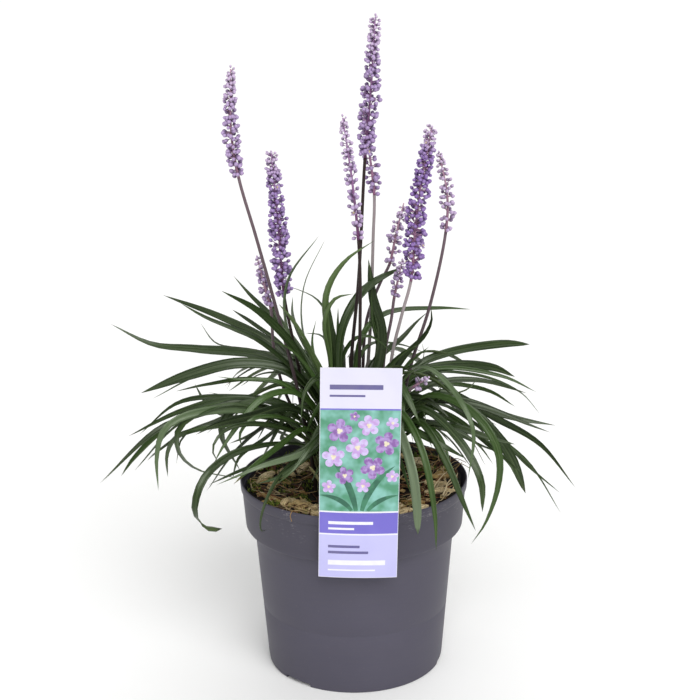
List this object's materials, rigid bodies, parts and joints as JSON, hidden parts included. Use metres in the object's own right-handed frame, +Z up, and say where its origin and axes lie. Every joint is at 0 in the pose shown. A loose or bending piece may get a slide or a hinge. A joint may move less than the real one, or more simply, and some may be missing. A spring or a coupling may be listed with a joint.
{
  "type": "potted liriope",
  "caption": "Clump of arching strap leaves with upright spikes of small violet flowers, growing in a round plastic nursery pot with a picture label.",
  "frame": {"origin": "centre of the pot's flat underside, on the surface it stands on", "axes": "+Z up along the pot's axis; the picture label faces -Y; +X is to the right of someone who reads the label"},
  "size_m": [0.3475, 0.2596, 0.481],
  "materials": {
    "pot": "satin injection moulded polypropylene, dark warm grey",
    "mulch": "damp potting soil under loose bark chips and roots",
    "label": "printed plastic strip, semi-gloss",
    "leaf": "waxy dark green leaf, paler beneath",
    "flower": "small waxy violet buds",
    "stem_dark": "smooth dark purple-brown flower stem",
    "stem_brown": "smooth reddish brown flower stem",
    "stem_pale": "smooth pale mauve flower stem"
  },
  "bodies": {
    "root": {"pot": "pot", "soil": "mulch", "label": "label", "stem_1": "stem_brown", "spike_1": "flower", "stem_2": "stem_dark", "spike_2": "flower", "stem_3": "stem_brown", "spike_3": "flower", "stem_4": "stem_dark", "spike_4": "flower", "stem_5": "stem_dark", "spike_5": "flower", "stem_6": "stem_pale", "spike_6": "flower", "stem_7": "stem_brown", "spike_7": "flower", "stem_8": "stem_pale", "spike_8": "flower", "stem_9": "stem_brown", "spike_9": "flower", "stem_10": "stem_brown", "spike_10": "flower", "stem_11": "stem_brown", "spike_11": "flower", "tuft_east": "leaf", "tuft_northeast": "leaf", "tuft_north": "leaf", "tuft_north_left": "leaf", "tuft_northwest": "leaf", "tuft_west": "leaf", "tuft_southwest": "leaf", "tuft_south_left": "leaf", "tuft_south_right": "leaf", "tuft_southeast": "leaf", "tuft_mid_left": "leaf", "tuft_mid_right": "leaf", "tuft_mid_back": "leaf"}
  },
  "joints": []
}
